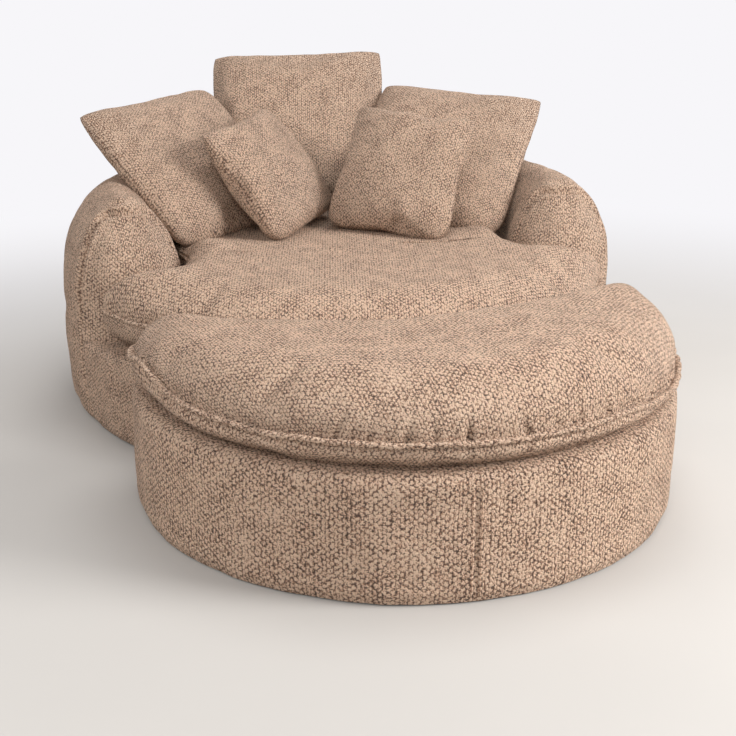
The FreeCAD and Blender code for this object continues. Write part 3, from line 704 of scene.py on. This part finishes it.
class LOUNGE_OT_chair_cover(bpy.types.Operator):
    """Cover of the chair's base, back and arms"""
    bl_idname = "lounge.chair_cover"
    bl_label = "Chair cover"

    def execute(self, context):
        sizes = context.scene.lounge_sizes
        roll = roll_profile(sizes)
        skirt = np.linspace(sizes.hem, sizes.foot_level, 20)[:-1]
        patches, seams = self.shells(sizes, roll, skirt)
        folds = []
        for side in (1, -1):
            end_patches, end_folds = self.arm_end(sizes, roll, skirt, side)
            patches += end_patches
            folds += end_folds
        patches.append(self.front(sizes))
        piece = subdivided(sewn("chair_cover_padding", patches, fabric(), CHAIR_FINENESS))
        self.crease(piece, sizes, folds + [(seam[::3], 0.005, 0.0045) for seam in seams])
        stitches("chair", [
            on_surface(piece, seam[2:-6] + [shift, 0, 0]) for seam in seams[:2] for shift in (-0.009, 0.009)])
        finish_padded(piece, "chair", 0.85, "chair_base_side_pads", "chair_base_cover", "back_and_arm_foam",
                      "back_and_arm_cover")
        return {"FINISHED"}

    @staticmethod
    def shells(sizes, roll, skirt):
        """Outside and inside of the back and arms, and the two seams up each, outside ones first."""
        circle, (width, level) = sizes.roll_circle, roll.T
        tuck = under_belly(sizes, level) ** 2 * (base_reach(level) - circle - width)
        outer_level = np.concatenate([skirt, level])
        outer_reach = np.concatenate([base_reach(skirt), circle + width + tuck])
        turn = np.radians(np.linspace(ARM_END, 360 - ARM_END, 200))[:, None]
        patches, seams = [], []
        for reach, heights, middle, start in (
                (outer_reach, outer_level, OUTER_WEAVE, sizes.hem - sizes.foot_level),
                (circle - width, level, INNER_WEAVE, 0)):
            points = revolved((0, sizes.chair_y), reach, turn, heights)
            seams += [points[column] for column in BACK_SEAMS]
            along = walked(np.stack([reach, heights], 1)) + start
            patches.append(patch(points, woven(turn * middle, along)))
        return patches, seams

    @staticmethod
    def arm_end(sizes, roll, skirt, side):
        """Round end of one arm: its wall, its cap and the skirt below it, and its folds."""
        centre, circle = np.array([0, sizes.chair_y]), sizes.roll_circle
        width, level = roll.T
        outer_foot, inner_foot, cap_reach, weave_reach = 0.150, 0.126, 0.150, 0.125
        swing = np.radians(np.linspace(0, 180, 61))[:, None]
        to_side = circle * np.cos(swing)
        wall_gap = -to_side + np.sqrt(to_side**2 + base_reach(1.0) ** 2 - circle**2)
        fade = np.clip((np.degrees(swing) - 50) / 80, 0, 1)
        foot = np.minimum(wall_gap, outer_foot) * (1 - fade) + inner_foot * fade
        arm = around(centre, circle, side * ARM_END, side * ARM_END, 1)[0]
        reach = width + under_belly(sizes, level) ** 2 * (foot - inner_foot)
        points = revolved(arm, reach, np.radians(side * ARM_END) - side * swing, level)
        lean = swing - math.pi / 2
        walk = walked(roll)
        cap = walk[-1] - walk
        split = int(np.searchsorted(-cap, -cap_reach))
        wall_weave = woven(weave_reach * lean, walk)
        cap_weave = woven(cap * np.sin(lean) + 0.37, walk[-1] - cap * np.cos(lean))
        draped = int((wall_gap < outer_foot).sum())
        way_out = unit(points[:draped, 0, :2] - centre)
        low = np.concatenate([skirt, level[:1]])
        sink = 0.003 * np.linspace(0, 1, draped)[:, None] ** 3
        plan = centre + way_out[:, None] * (base_reach(low) - sink)[..., None]
        hanging = raised(plan, low)
        hanging[:, -1] = points[:draped, 0]
        patches = [
            patch(points[:, :split + 1], wall_weave[:, :split + 1]),
            patch(points[:, split:], cap_weave[:, split:]),
            patch(hanging, woven(weave_reach * lean[:draped], low - sizes.foot_level)),
        ]
        foot_end = hanging[min(7, draped - 1), 1::3]
        arch = np.vstack([foot_end, points[7, 1:30:3], points[8:50:3, 32], points[50, 30:8:-3]])
        for _ in range(3):
            arch[1:-1] = (arch[:-2] + 2 * arch[1:-1] + arch[2:]) / 4
        return patches, [(arch, 0.014, 0.008), (points[3:30:3, 37], 0.008, 0.007)]

    @staticmethod
    def front(sizes):
        """Front of the base under the seat, rounded over at its rim and sunk behind the arm ends."""
        rim_reach, rim_level, rim_radius = 0.689, 0.205, 0.024
        bend = np.radians(np.linspace(0, 90, 8)[1:])
        wall = np.linspace(sizes.hem, rim_level, 18)
        rim = np.stack([rim_reach + rim_radius * np.cos(bend), rim_level + rim_radius * np.sin(bend)], 1)
        profile = np.vstack([np.stack([base_reach(wall), wall], 1), rim, [[0.56, 0.232]]])
        angles = np.linspace(-92, 92, 150)[:, None]
        turn = np.radians(angles)
        reach = profile[:, 0] - 0.006 * np.clip((np.abs(angles) - 70) / 4, 0, 1)
        points = revolved((0, sizes.chair_y), reach, turn, profile[:, 1])
        return patch(points, woven(turn * OUTER_WEAVE, walked(profile) + sizes.hem - sizes.foot_level))

    @staticmethod
    def crease(piece, sizes, folds):
        """Soft lumps of the padding, upright folds on the outside and a hem that tucks in."""
        points = places(piece)
        out = points[:, :2] - [0, sizes.chair_y]
        radius = np.linalg.norm(out, axis=1)
        angle = np.degrees(np.arctan2(out[:, 0], -out[:, 1]))
        outside = np.clip((radius - 0.60) / 0.08, 0, 1)
        height = points[:, 2]
        move = 0.006 * lumps(points, 0.16, 1) + 0.003 * lumps(points, 0.06, 2)
        drape = lumps(np.stack([angle / 6.5, 0.4 * height / 0.3, 0 * angle], 1), 1.0, 4)
        fold_share = np.clip(1.15 - np.abs(height - 0.22) / 0.30, 0, 1) * (np.abs(angle) > 60)
        move += outside * fold_share * 0.010 * np.minimum(drape, 0.25)
        move -= 0.010 * np.clip(1 - height / 0.022, 0, 1)
        for path, depth, width in folds:
            move += creased(points, path, depth, width)
        move = np.minimum(move, 0.008)
        push(piece, move)


class LOUNGE_OT_seat_deck(bpy.types.Operator):
    """Deck cloth under the seat cushion and the dust cloths under both bases"""
    bl_idname = "lounge.seat_deck"
    bl_label = "Deck and dust cloths"

    def execute(self, context):
        sizes = context.scene.lounge_sizes
        cloth = bpy.data.materials["spunbond_dust_cloth"]
        low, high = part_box("seat_deck_cover")
        reach = (high[0] - low[0]) / 2
        share, way = disc_grid(40)
        turn = 2 * math.pi * way
        top = high[2] + 0.001 - 0.006 * np.clip((share - 0.9) / 0.1, 0, 1) ** 2
        pillow = 0.002 * np.sin(share * reach * 60) * (1 - share)
        points = revolved((0, sizes.chair_y), share * reach, turn, top + pillow)
        deck = sewn("seat_deck_padding", [patch(points, points[..., :2])], cloth)
        thick = deck.modifiers.new("Thickness", "SOLIDIFY")
        thick.thickness = 0.020
        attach(deck, "chair")
        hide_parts("seat_deck_cover", "seat_deck_pad")
        floor_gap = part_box("chair_dust_cover")[0][2]
        round_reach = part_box("chair_dust_cover")[1][0]
        moon_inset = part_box("ottoman_dust_cover")[0][1] - sizes.ottoman_y + sizes.ottoman_radius
        centre = np.array([0, sizes.chair_y])
        self.dust_cover("chair", around(centre, round_reach, 0, 360, 601)[:-1], centre, floor_gap)
        self.dust_cover("ottoman", moon_outline(sizes, moon_inset), moon_middle(sizes), floor_gap)
        return {"FINISHED"}

    @staticmethod
    def dust_cover(body, outline, middle, level):
        """Thin cloth stretched under a base, sagging a little, with staples round its edge."""
        share, way = disc_grid(40)
        ring = evenly(outline, 320)
        plan = spread_over(ring, middle, share, way)
        sag = level + 0.0005 - 0.0012 * (1 - share**2)
        cover = sewn(f"{body}_dust_cloth", [patch(raised(plan, sag), plan)],
                     bpy.data.materials["spunbond_dust_cloth"])
        cover.modifiers.new("Thickness", "SOLIDIFY").thickness = 0.0006
        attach(cover, body)
        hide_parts(f"{body}_dust_cover")
        path = raised(ring - 0.012 * outward_of(ring), level - 0.0004)
        staples = fastening_row(f"{body}_staples", [looped(path)],
                                bpy.data.materials["zinc_plated_steel"], 0.045, STAPLE, 2)
        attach(staples, body)


def from_seam(plan, outline):
    """For each plan point: how far inside an outline it is, and of the outline's nearest spot the way along,
    the way out and the place."""
    dense = evenly(outline, 900)
    out = outward_of(dense)
    batches = [plan[first:first + 1000, None] for first in range(0, len(plan), 1000)]
    pick = np.concatenate([((batch - dense[None]) ** 2).sum(2).argmin(1) for batch in batches])
    gap = np.maximum(((dense[pick] - plan) * out[pick]).sum(1), 0)
    step = np.linalg.norm(dense[1] - dense[0])
    return gap, pick * step, out[pick], dense[pick]


def plump(part):
    """Share of the rise at a share of the way in from the seam: steep at the seam, level at the crown."""
    return (1 - (1 - part) ** 2.3) ** 0.66


def crowned(outline, middle, steps, seam_at, crown, under, insets, bulges, turn, tight=None):
    """Two panels over one outline, sewn at their seam: grids of points and of weave coordinates."""
    share, way = disc_grid(steps)
    share = 1 - (1 - share) ** 1.5
    ring = evenly(outline, 8 * steps)
    plan = spread_over(ring, middle, share, way)
    gap, _, outward, spots = from_seam(plan.reshape(-1, 2), outline)
    gap = gap.reshape(share.shape)
    gap[share == 1] = 0
    outward = outward.reshape(*share.shape, 2)
    seam = seam_at(spots).reshape(share.shape)
    panels = []
    for top, inset, bulge in ((crown, insets[0], bulges[0]), (under, insets[1], bulges[1])):
        end = top(plan) if callable(top) else np.full(share.shape, top)
        closer = 1 if tight is None else tight(plan)
        part = np.clip(gap / (inset * closer), 0, 1)
        level = seam + (end - seam) * plump(part)
        for _ in range(4):
            mean = (level[:-2, 1:-1] + level[2:, 1:-1] + level[1:-1, :-2] + level[1:-1, 2:]) / 4
            level[1:-1, 1:-1] = mean
        swell = bulge * (2.2 - 1.2 * closer) * np.sin(math.pi * plump(part)) * (part < 1)
        swollen = plan + outward * swell[..., None]
        ladder = np.linspace(0, 1, 200)
        climb = np.abs(end.mean() - seam.mean()) * plump(ladder)
        spare = walked(np.stack([ladder * inset, climb], 1)) - ladder * inset
        weave = plan + outward * (spare[-1] - np.interp(part, ladder, spare))[..., None]
        panels.append((raised(swollen, level), weave @ spun(turn)))
    return panels


def gathered(piece, outline, seam_at, seed, count, depth):
    """Short puckers across the seam, where the panels were drawn up to it, and soft lumps of the filling."""
    points = places(piece)
    gap, way, _, spots = from_seam(points[:, :2], outline)
    rise = points[:, 2] - seam_at(spots)
    gap = np.hypot(gap, rise)
    total = walked(looped(outline))[-1]
    chance = np.random.default_rng(seed)
    move = 0.004 * lumps(points, 0.14, seed) + 0.0015 * lumps(points, 0.045, seed + 1)
    for number in range(count):
        spot = (number + chance.uniform(0.15, 0.85)) * total / count
        reach = chance.uniform(0.018, 0.050)
        width = chance.uniform(0.005, 0.010)
        deep = chance.uniform(0.5, 1.0)
        side = (way - spot + total / 2) % total - total / 2 + gap * chance.uniform(-0.4, 0.4)
        dip = np.exp(-((side / width) ** 2)) - 0.4 * np.exp(-((np.abs(side) / width - 2.2) ** 2))
        below = chance.uniform(0.2, 0.7)
        move -= depth * deep * dip * np.exp(-((gap / reach) ** 2)) * np.where(rise > 0, 1, below)
    push(piece, move)


def sewn_edge(piece, outline, seam_at):
    """Where a blown-up cushion's seam came to lie, as a smooth ring of points."""
    edge = on_surface(piece, raised(outline, seam_at(outline)))
    for _ in range(4):
        edge = (np.roll(edge, 1, 0) + 2 * edge + np.roll(edge, -1, 0)) / 4
    return edge


def piping(name, path, half_width, half_height, tilt, sides):
    """A closed welt or flange along a ring of points, tilted up and a little uneven."""
    ahead = headings(path)
    level_out = unit(np.cross(ahead, UP))
    level_rise = np.cross(level_out, ahead)
    out = level_out * math.cos(tilt) + level_rise * math.sin(tilt)
    rise = level_rise * math.cos(tilt) - level_out * math.sin(tilt)
    uneven = (1 + 0.30 * lumps(path, 0.045, 3))[:, None, None]
    turn = np.linspace(0, 2 * math.pi, sides + 1)
    points = (path[:, None] + out[:, None] * half_width * 0.5
              + out[:, None] * (half_width * np.cos(turn))[None, :, None] * uneven
              + rise[:, None] * (half_height * np.sin(turn))[None, :, None] * uneven)
    walk = walked(looped(path))
    weave = woven(walk[:-1, None], turn * (half_width + half_height) / 2)
    return sewn(name, [patch(points, weave, walk[-1])], fabric())


class LOUNGE_OT_cushions(bpy.types.Operator):
    """Loose seat cushion and loose ottoman cushion, blown up and gathered at their seams"""
    bl_idname = "lounge.cushions"
    bl_label = "Cushions"

    def execute(self, context):
        sizes = context.scene.lounge_sizes
        seat_ring = evenly(seat_outline(sizes), 520)
        moon_ring = evenly(turned_plan(moon_outline(sizes, 0.010, 0.026), -4, sizes.ottoman_y), 560)
        seat_seam = partial(self.seat_seam, sizes=sizes)
        moon_seam = partial(self.cushion_seam, sizes=sizes)
        seat = crowned(seat_ring, np.array([0, sizes.chair_y - 0.16]), 50, seat_seam,
                       partial(self.seat_top, sizes=sizes), partial(self.underside, sizes=sizes),
                       (0.15, 0.045), (0.012, 0.012), 0.2, partial(self.squeeze, sizes=sizes))
        rest = crowned(moon_ring, moon_middle(sizes), 50, moon_seam,
                       partial(self.cushion_top, sizes=sizes), 0.264, (0.13, 0.030), (0.006, 0.020), -0.2)
        seat_piece = sewn("seat_cushion", [patch(*panel) for panel in seat], fabric(), CHAIR_FINENESS)
        rest_piece = sewn("ottoman_cushion", [patch(*panel) for panel in rest], fabric(), CUSHION_FINENESS)
        inflated([seat_piece, rest_piece], 3.0, 14, 0.010)
        gathered(subdivided(seat_piece), seat_ring, seat_seam, 21, 34, 0.006)
        gathered(subdivided(rest_piece), moon_ring, moon_seam, 34, 44, 0.008)
        seat_edge = sewn_edge(seat_piece, seat_ring, seat_seam)
        rest_edge = sewn_edge(rest_piece, moon_ring, moon_seam)
        welt = piping("seat_cushion_piping", seat_edge, 0.0055, 0.0055, 0, 8)
        flange = piping("ottoman_cushion_piping", rest_edge, 0.0095, 0.0058, 0.45, 10)
        finish_padded(seat_piece, "seat_cushion", 0.8, "seat_cushion_foam", "seat_cushion_top_cover",
                      "seat_cushion_bottom_cover")
        finish_padded(welt, "seat_cushion", 0.9, "seat_cushion_welt")
        finish_padded(rest_piece, "ottoman_cushion", 0.7, "ottoman_cushion_fill", "ottoman_cushion_top_cover",
                      "ottoman_cushion_bottom_cover")
        finish_padded(flange, "ottoman_cushion", 0.5, "ottoman_cushion_flange")
        return {"FINISHED"}

    @staticmethod
    def seat_top(plan, sizes):
        """Height of the seat's top, which swells up in front of the two arm ends."""
        arm = around(np.array([0, sizes.chair_y]), sizes.roll_circle, ARM_END, ARM_END, 1)[0]
        off = np.hypot(np.abs(plan[..., 0]) - arm[0], plan[..., 1] - arm[1]) - 0.160
        ahead = np.clip((arm[1] + 0.10 - plan[..., 1]) / 0.12, 0, 1)
        return sizes.seat_crown - 0.006 + 0.034 * np.exp(-((off / 0.11) ** 2)) * eased(ahead)

    @staticmethod
    def underside(plan, sizes):
        """Height of the seat's underside: on the deck, and sagging to the base's rim outside the deck."""
        past = np.clip((np.hypot(plan[..., 0], plan[..., 1] - sizes.chair_y) - 0.565) / 0.05, 0, 1)
        return 0.256 - 0.019 * eased(past)

    @staticmethod
    def squeeze(plan, sizes):
        """Share of its usual run that the seat takes to rise from the seam: less between the arms."""
        return 1 - 0.6 * np.clip((plan[..., 1] - sizes.chair_y + 0.28) / 0.25, 0, 1)

    @staticmethod
    def seat_seam(spots, sizes):
        """Height of the seat's seam at plan points, waving a little."""
        inside = np.clip((spots[:, 1] - sizes.chair_y + 0.27) / 0.12, 0, 1)
        wave = 0.004 * lumps(raised(spots, 0), 0.11, 5)
        return sizes.seat_seam + wave + 0.064 * eased(inside)

    @staticmethod
    def cushion_top(plan, sizes):
        """Height of the ottoman cushion's top, lower to the left."""
        return sizes.cushion_crown - 0.008 - 0.034 * np.clip(0.35 - plan[..., 0], 0, 0.9) / 0.9

    @staticmethod
    def cushion_seam(spots, sizes):
        """Height of the ottoman cushion's seam at plan points: up at the left ear, down at the right one."""
        left = np.clip((-spots[:, 0] - 0.40) / 0.18, 0, 1)
        right = np.clip((spots[:, 0] - 0.30) / 0.20, 0, 1)
        behind = np.clip((spots[:, 1] + 0.56) / 0.12, 0, 1)
        wave = 0.003 * lumps(raised(spots, 0), 0.07, 6)
        ear = (0.056 * left**6 + 0.016 * left) * (1 - 0.7 * behind)
        return sizes.cushion_seam + 0.003 + ear - 0.020 * right + wave


class LOUNGE_OT_ottoman_cover(bpy.types.Operator):
    """Cover of the ottoman, with its rounded rim and the seam in its front"""
    bl_idname = "lounge.ottoman_cover"
    bl_label = "Ottoman cover"

    def execute(self, context):
        sizes = context.scene.lounge_sizes
        count, rim_radius = 520, 0.024
        ring = evenly(moon_outline(sizes), count)
        bend = np.radians(np.linspace(0, 90, 9)[1:])
        levels = np.linspace(sizes.hem, sizes.ottoman_top - rim_radius, 26)
        wall = np.stack([0 * levels, levels], 1)
        rim = np.stack([rim_radius * (1 - np.cos(bend)), levels[-1] + rim_radius * np.sin(bend)], 1)
        profile = np.vstack([wall, rim])
        plan = ring[:, None] - outward_of(ring)[:, None] * profile[None, :, :1]
        walk = walked(looped(ring))
        side = patch(raised(plan, profile[:, 1]), woven(walk[:-1, None], walked(profile)), walk[-1])
        share, way = disc_grid(count // 8)
        top_plan = spread_over(plan[:, -1], moon_middle(sizes), share, way)
        top = patch(raised(top_plan, sizes.ottoman_top + 0.003 * (1 - share**2)), top_plan)
        piece = sewn("ottoman_cover_padding", [side, top], fabric())
        points = places(subdivided(piece))
        height = points[:, 2]
        move = 0.004 * lumps(points, 0.15, 7) + 0.0025 * lumps(points, 0.05, 9)
        move *= np.clip((sizes.ottoman_top + 0.004 - height) / 0.02, 0, 1)
        move -= 0.010 * np.clip(1 - height / 0.025, 0, 1)
        seam, nose = -0.013, sizes.ottoman_y - sizes.ottoman_radius
        upright = [(seam, nose, 0.0), (seam, nose, 0.13), (seam - 0.001, nose, 0.26)]
        move += creased(points, upright, 0.004, 0.004)
        push(piece, move)
        finish_padded(piece, "ottoman", 0.85, "ottoman_cover", "ottoman_side_pads", "ottoman_top_pad")
        levels = np.linspace(0.02, 0.225, 60)
        beside = [[(seam + shift, nose, level) for level in levels] for shift in (-0.008, 0.008)]
        stitches("ottoman", [on_surface(piece, path) for path in beside])
        return {"FINISHED"}


class LOUNGE_OT_pillows(bpy.types.Operator):
    """Five scatter pillows, each two square panels sewn together and blown up"""
    bl_idname = "lounge.pillows"
    bl_label = "Scatter pillows"

    def execute(self, context):
        pieces = [self.blank(name, side, depth, seed) for name, (side, depth, *_, seed) in PILLOWS.items()]
        inflated(pieces, 5.0, 16, 0.014)
        for piece, (name, values) in zip(pieces, PILLOWS.items()):
            side, depth, centre, facing, lean, turn, seed = values
            points = places(piece)
            plumpness = 1.20 if side < 0.4 else 1.10
            wanted = np.array([1.03 * side / 2, 1.03 * side / 2, plumpness * depth])
            set_places(piece, points * (wanted / np.abs(points).max(0)))
            points = places(subdivided(piece))
            move = 0.002 * lumps(points, 0.05, seed + 1)
            deep = 0.016 if name == "pillow_small_left" else 0.009
            for path in CREASES.get(name, ()):
                line = [(x * side / 2, y * side / 2, 0.8 * depth) for x, y in path]
                move += creased(points, line, deep, 0.012) * (points[:, 2] > 0)
            push(piece, move)
            turns = (Matrix.Rotation(math.radians(facing), 4, "Z")
                     @ Matrix.Rotation(math.radians(90 - lean), 4, "X")
                     @ Matrix.Rotation(math.radians(turn), 4, "Z"))
            placed = np.array(Matrix.Translation(centre) @ turns)
            set_places(piece, places(piece) @ placed[:3, :3].T + placed[:3, 3])
            finish_padded(piece, name, 0.75, f"{name}_fill", f"{name}_front_panel", f"{name}_back_panel")
        return {"FINISHED"}

    @staticmethod
    def blank(name, side, depth, seed):
        """A pillow lying flat at the origin, before it is blown up."""
        line = np.linspace(-1, 1, 47)
        a, b = np.meshgrid(line, line, indexing="ij")
        flat = np.stack([a, b], -1) * side / 2
        drawn = 1 - 0.052 * (1 - np.abs(np.stack([b, a], -1)) ** 2.4)
        blunt = (1 - np.where(b > 0, 0.085, 0.15) * np.abs(a * b) ** 4)[..., None]
        dome = ((1 - np.abs(a) ** 2.3) * (1 - np.abs(b) ** 2.3)) ** 0.44
        panels = []
        for face in (1, -1):
            level = face * 0.84 * depth * dome * (1 - 0.14 * b)
            points = raised(flat * drawn * blunt, level)
            points[..., 2] += 0.008 * dome * lumps(points, side / 3, seed)
            panels.append(patch(points, flat * 1.12 + [0.0, 0.3 * face]))
        return sewn(name, panels, fabric(), PILLOW_FINENESS)


class LOUNGE_OT_finishes(bpy.types.Operator):
    """Finishes of the fabrics and of the boards and fittings"""
    bl_idname = "lounge.finishes"
    bl_label = "Finishes"

    def execute(self, context):
        sizes, colours = context.scene.lounge_sizes, context.scene.lounge_colours
        chunky_chenille(sizes, colours)
        sewing_thread(colours)
        finishes = {
            "dust_cloth": dust_cloth(colours),
            "webbing": elastic_webbing(colours),
            "plywood": grained_wood("birch_plywood", colours.plywood, (1, 12, 6), 0.045),
            "timber": grained_wood("sawn_pine", colours.timber, (9, 9, 1), 0.060),
            "zinc_steel": zinc_plate(colours),
            "glide_plastic": moulded_glide(colours),
        }
        for part in frame["record"]["subparts"]:
            if part["material_slot"] in finishes:
                for slot in frame["nodes"][part["node"]].material_slots:
                    slot.material = finishes[part["material_slot"]]
        return {"FINISHED"}


class LOUNGE_OT_stage(bpy.types.Operator):
    """Camera, studio floor, wall and lights"""
    bl_idname = "lounge.stage"
    bl_label = "Stage"

    def execute(self, context):
        scene, colours = context.scene, context.scene.lounge_colours
        self.camera(scene)
        self.floor(colours)
        self.world(scene, colours)
        self.lamps(scene)
        scene.view_settings.view_transform = "Standard"
        return {"FINISHED"}

    @staticmethod
    def placed(scene, name, data, where, forward):
        """A camera or lamp at a place, looking forward."""
        holder = bpy.data.objects.new(name, data)
        holder.location = where
        holder.rotation_euler = Vector(forward).to_track_quat("-Z", "Y").to_euler()
        scene.collection.objects.link(holder)
        return holder

    def camera(self, scene):
        """Camera fitted to the photo."""
        data = bpy.data.cameras.new("camera")
        data.lens, data.sensor_width = 63.587, 36
        scene.camera = self.placed(scene, "camera", data, (-0.679, -3.011, 1.186), (0.2127, 0.9213, -0.3256))

    @staticmethod
    def seen(tree):
        """Whether a ray comes from the camera or a reflection."""
        ray = add(tree, "ShaderNodeLightPath").outputs
        return worked(tree, "MAXIMUM", ray["Is Camera Ray"], ray["Is Glossy Ray"])

    def floor(self, colours):
        """Wide round floor, which fades into the wall's white away from the chair."""
        reach, count = 30.0, 96
        turn = np.linspace(0, 2 * math.pi, count, endpoint=False)
        rim = [(reach * math.cos(t), reach * math.sin(t), 0) for t in turn]
        floor = made("floor", rim, [], [list(range(count))])
        material, tree, shader = surface("pale_studio_floor")
        place = object_place(tree)
        ahead = shifted(tree, "ADD", place, (0.0, 0.8, 0.0))
        far = add(tree, "ShaderNodeVectorMath", {"operation": "LENGTH"}, _0=ahead)
        fade = add(tree, "ShaderNodeMapRange", {"interpolation_type": "SMOOTHSTEP"}, _0=far.outputs["Value"],
                   _1=1.3, _2=3.5)
        soft = add(tree, "ShaderNodeMapRange", _0=speckle(tree, place, 0.5, Detail=5.0), _3=0.96, _4=1.04)
        near = add(tree, "ShaderNodeVectorMath", {"operation": "SCALE"}, _0=tuple(colours.floor),
                   Scale=soft.outputs[0])
        coat(tree, shader, near, 0.7)
        white = worked(tree, "MULTIPLY", self.seen(tree), fade.outputs[0])
        glow = add(tree, "ShaderNodeEmission", Color=rgba(colours.wall), Strength=1.0)
        both = add(tree, "ShaderNodeMixShader", _0=white, _1=shader.outputs[0], _2=glow.outputs[0])
        tree.links.new(both.outputs[0], tree.nodes["Material Output"].inputs["Surface"])
        floor.data.materials.append(material)

    def world(self, scene, colours):
        """White to the camera, dimmer as a light."""
        world = bpy.data.worlds.new("studio")
        scene.world = world
        world.use_nodes = True
        tree = world.node_tree
        level = add(tree, "ShaderNodeMapRange", _0=self.seen(tree), _3=0.34, _4=1.0)
        back = tree.nodes["Background"]
        back.inputs["Color"].default_value = rgba(colours.wall)
        tree.links.new(level.outputs[0], back.inputs["Strength"])

    def lamps(self, scene):
        """Round soft lamps that look at the chair: name, place, size and power."""
        for name, where, size, power in (
                ("key", (3.2, -2.3, 2.2), 1.8, 226),
                ("front", (-0.9, -4.2, 2.4), 2.6, 76),
                ("left", (-3.3, -0.7, 2.5), 2.2, 58),
                ("top", (0.5, -0.1, 4.0), 2.4, 66),
                ("back", (1.0, 3.8, 2.4), 2.4, 50)):
            lamp = bpy.data.lights.new(name, "AREA")
            lamp.shape, lamp.size, lamp.energy = "DISK", size, power
            self.placed(scene, name, lamp, where, Vector((0, 0, 0.3)) - Vector(where))


class LOUNGE_PT_panel(bpy.types.Panel):
    """Pieces of the lounge chair"""
    bl_idname = "LOUNGE_PT_panel"
    bl_label = "Lounge chair"
    bl_space_type = "VIEW_3D"
    bl_region_type = "UI"
    bl_category = "Lounge chair"

    def draw(self, context):
        for operator in OPERATORS:
            self.layout.operator(operator.bl_idname)
        for group in (context.scene.lounge_sizes, context.scene.lounge_colours):
            for key in group.__annotations__:
                self.layout.prop(group, key)


OPERATORS = (
    LOUNGE_OT_stage, LOUNGE_OT_finishes, LOUNGE_OT_chair_cover, LOUNGE_OT_seat_deck, LOUNGE_OT_cushions,
    LOUNGE_OT_ottoman_cover, LOUNGE_OT_pillows,
)
CLASSES = (LoungeSizes, LoungeColours, *OPERATORS, LOUNGE_PT_panel)


def register():
    for item in CLASSES:
        bpy.utils.register_class(item)
    bpy.types.Scene.lounge_sizes = bpy.props.PointerProperty(type=LoungeSizes)
    bpy.types.Scene.lounge_colours = bpy.props.PointerProperty(type=LoungeColours)


def unregister():
    del bpy.types.Scene.lounge_colours
    del bpy.types.Scene.lounge_sizes
    for item in reversed(CLASSES):
        bpy.utils.unregister_class(item)


def main():
    register()
    for operator in OPERATORS:
        group, name = operator.bl_idname.split(".")
        getattr(getattr(bpy.ops, group), name)()


if __name__ == "__main__":
    main()
